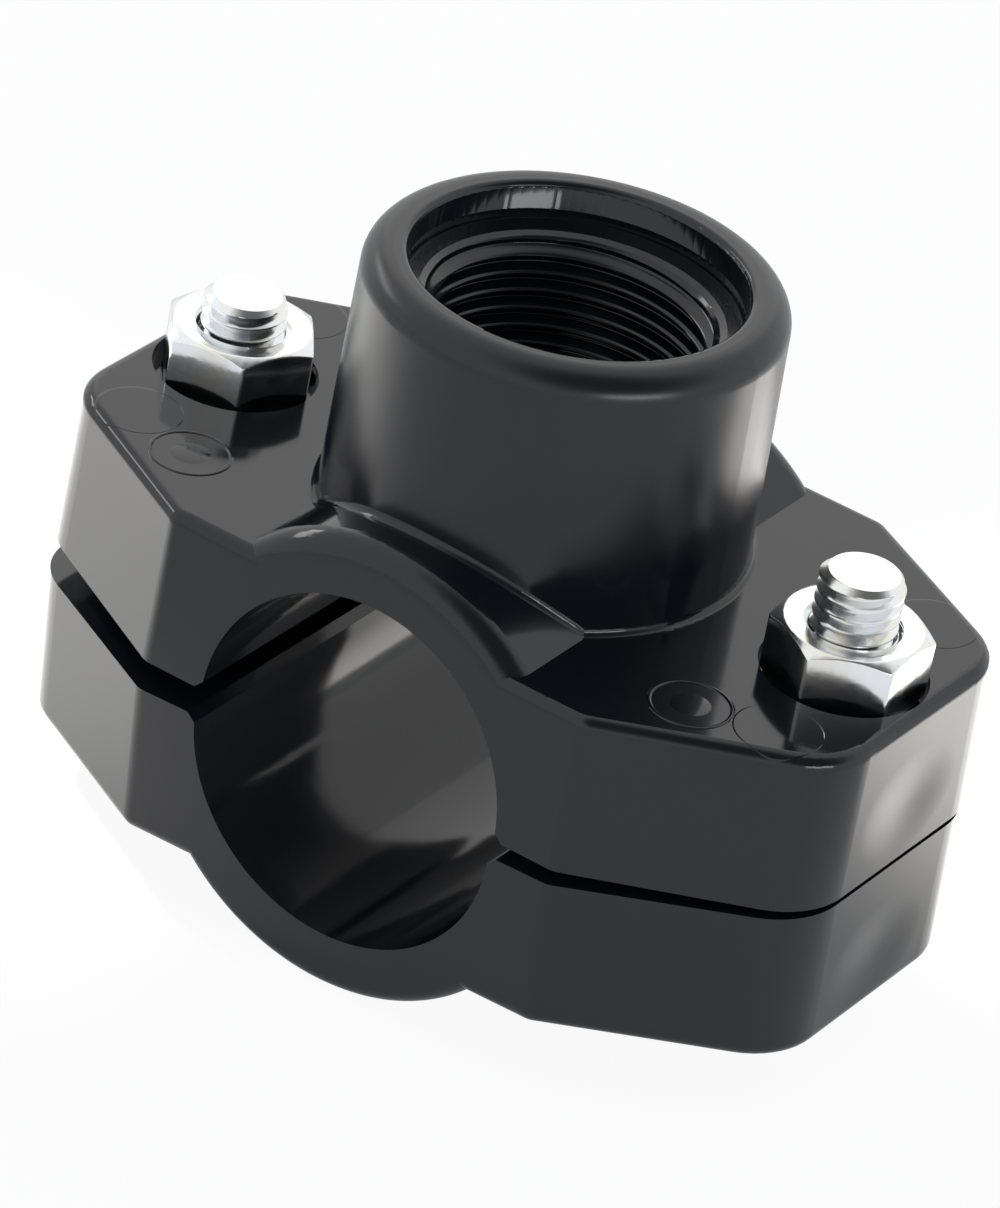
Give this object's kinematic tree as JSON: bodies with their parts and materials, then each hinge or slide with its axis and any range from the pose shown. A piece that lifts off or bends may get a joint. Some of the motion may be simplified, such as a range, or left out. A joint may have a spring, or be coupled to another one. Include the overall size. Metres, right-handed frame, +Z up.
{
  "type": "tapping saddle",
  "caption": "Two-part moulded saddle that bolts round a plastic pipe and carries a threaded female outlet, with a seal round the outlet passage.",
  "frame": {"origin": "on the axis of the clamped pipe, under the middle of the outlet", "axes": "+X from the left bolt to the right bolt, +Y along the pipe, +Z up the outlet, away from the pipe"},
  "size_m": [0.0848, 0.0506, 0.0649],
  "materials": {
    "body_plastic": "smooth moulded, glossy, blue-black",
    "seal_rubber": "matt moulded rubber",
    "zinc_steel": "bright zinc plating"
  },
  "bodies": {
    "upper": {"upper_half": "body_plastic", "outlet_seal": "seal_rubber"},
    "nut_left": {"nut_left": "zinc_steel"},
    "nut_right": {"nut_right": "zinc_steel"},
    "bolt_left": {"bolt_left": "zinc_steel"},
    "bolt_right": {"bolt_right": "zinc_steel"},
    "lower": {"lower_half": "body_plastic"}
  },
  "joints": [
    {"name": "nut_left_turn", "type": "hinge", "parent": "upper", "child": "nut_left", "pos_m": [-0.0334, 0, 0.0139], "axis": [0, 0, 1], "range_deg": [-246, 2522]},
    {"name": "nut_right_turn", "type": "hinge", "parent": "upper", "child": "nut_right", "pos_m": [0.0334, 0, 0.0139], "axis": [0, 0, 1], "range_deg": [-246, 2522]},
    {"name": "bolt_left_slide", "type": "slide", "parent": "upper", "child": "bolt_left", "axis": [0, 0, 1], "range_m": [-0.00876, 0.00086]},
    {"name": "bolt_right_slide", "type": "slide", "parent": "upper", "child": "bolt_right", "axis": [0, 0, 1], "range_m": [-0.00875, 0.00085]},
    {"name": "lower_rock", "type": "hinge", "parent": "bolt_right", "child": "lower", "pos_m": [0.0269, 0, -0.0093], "axis": [0, 1, 0], "range_deg": [0, 1.9]}
  ],
  "couplings": [
    {"joint": "bolt_left_slide", "follows": "bolt_right_slide", "ratio": 1},
    {"joint": "nut_left_turn", "follows": "bolt_right_slide", "rad_per_m": -5026.5},
    {"joint": "nut_right_turn", "follows": "bolt_right_slide", "rad_per_m": -5026.5}
  ]
}
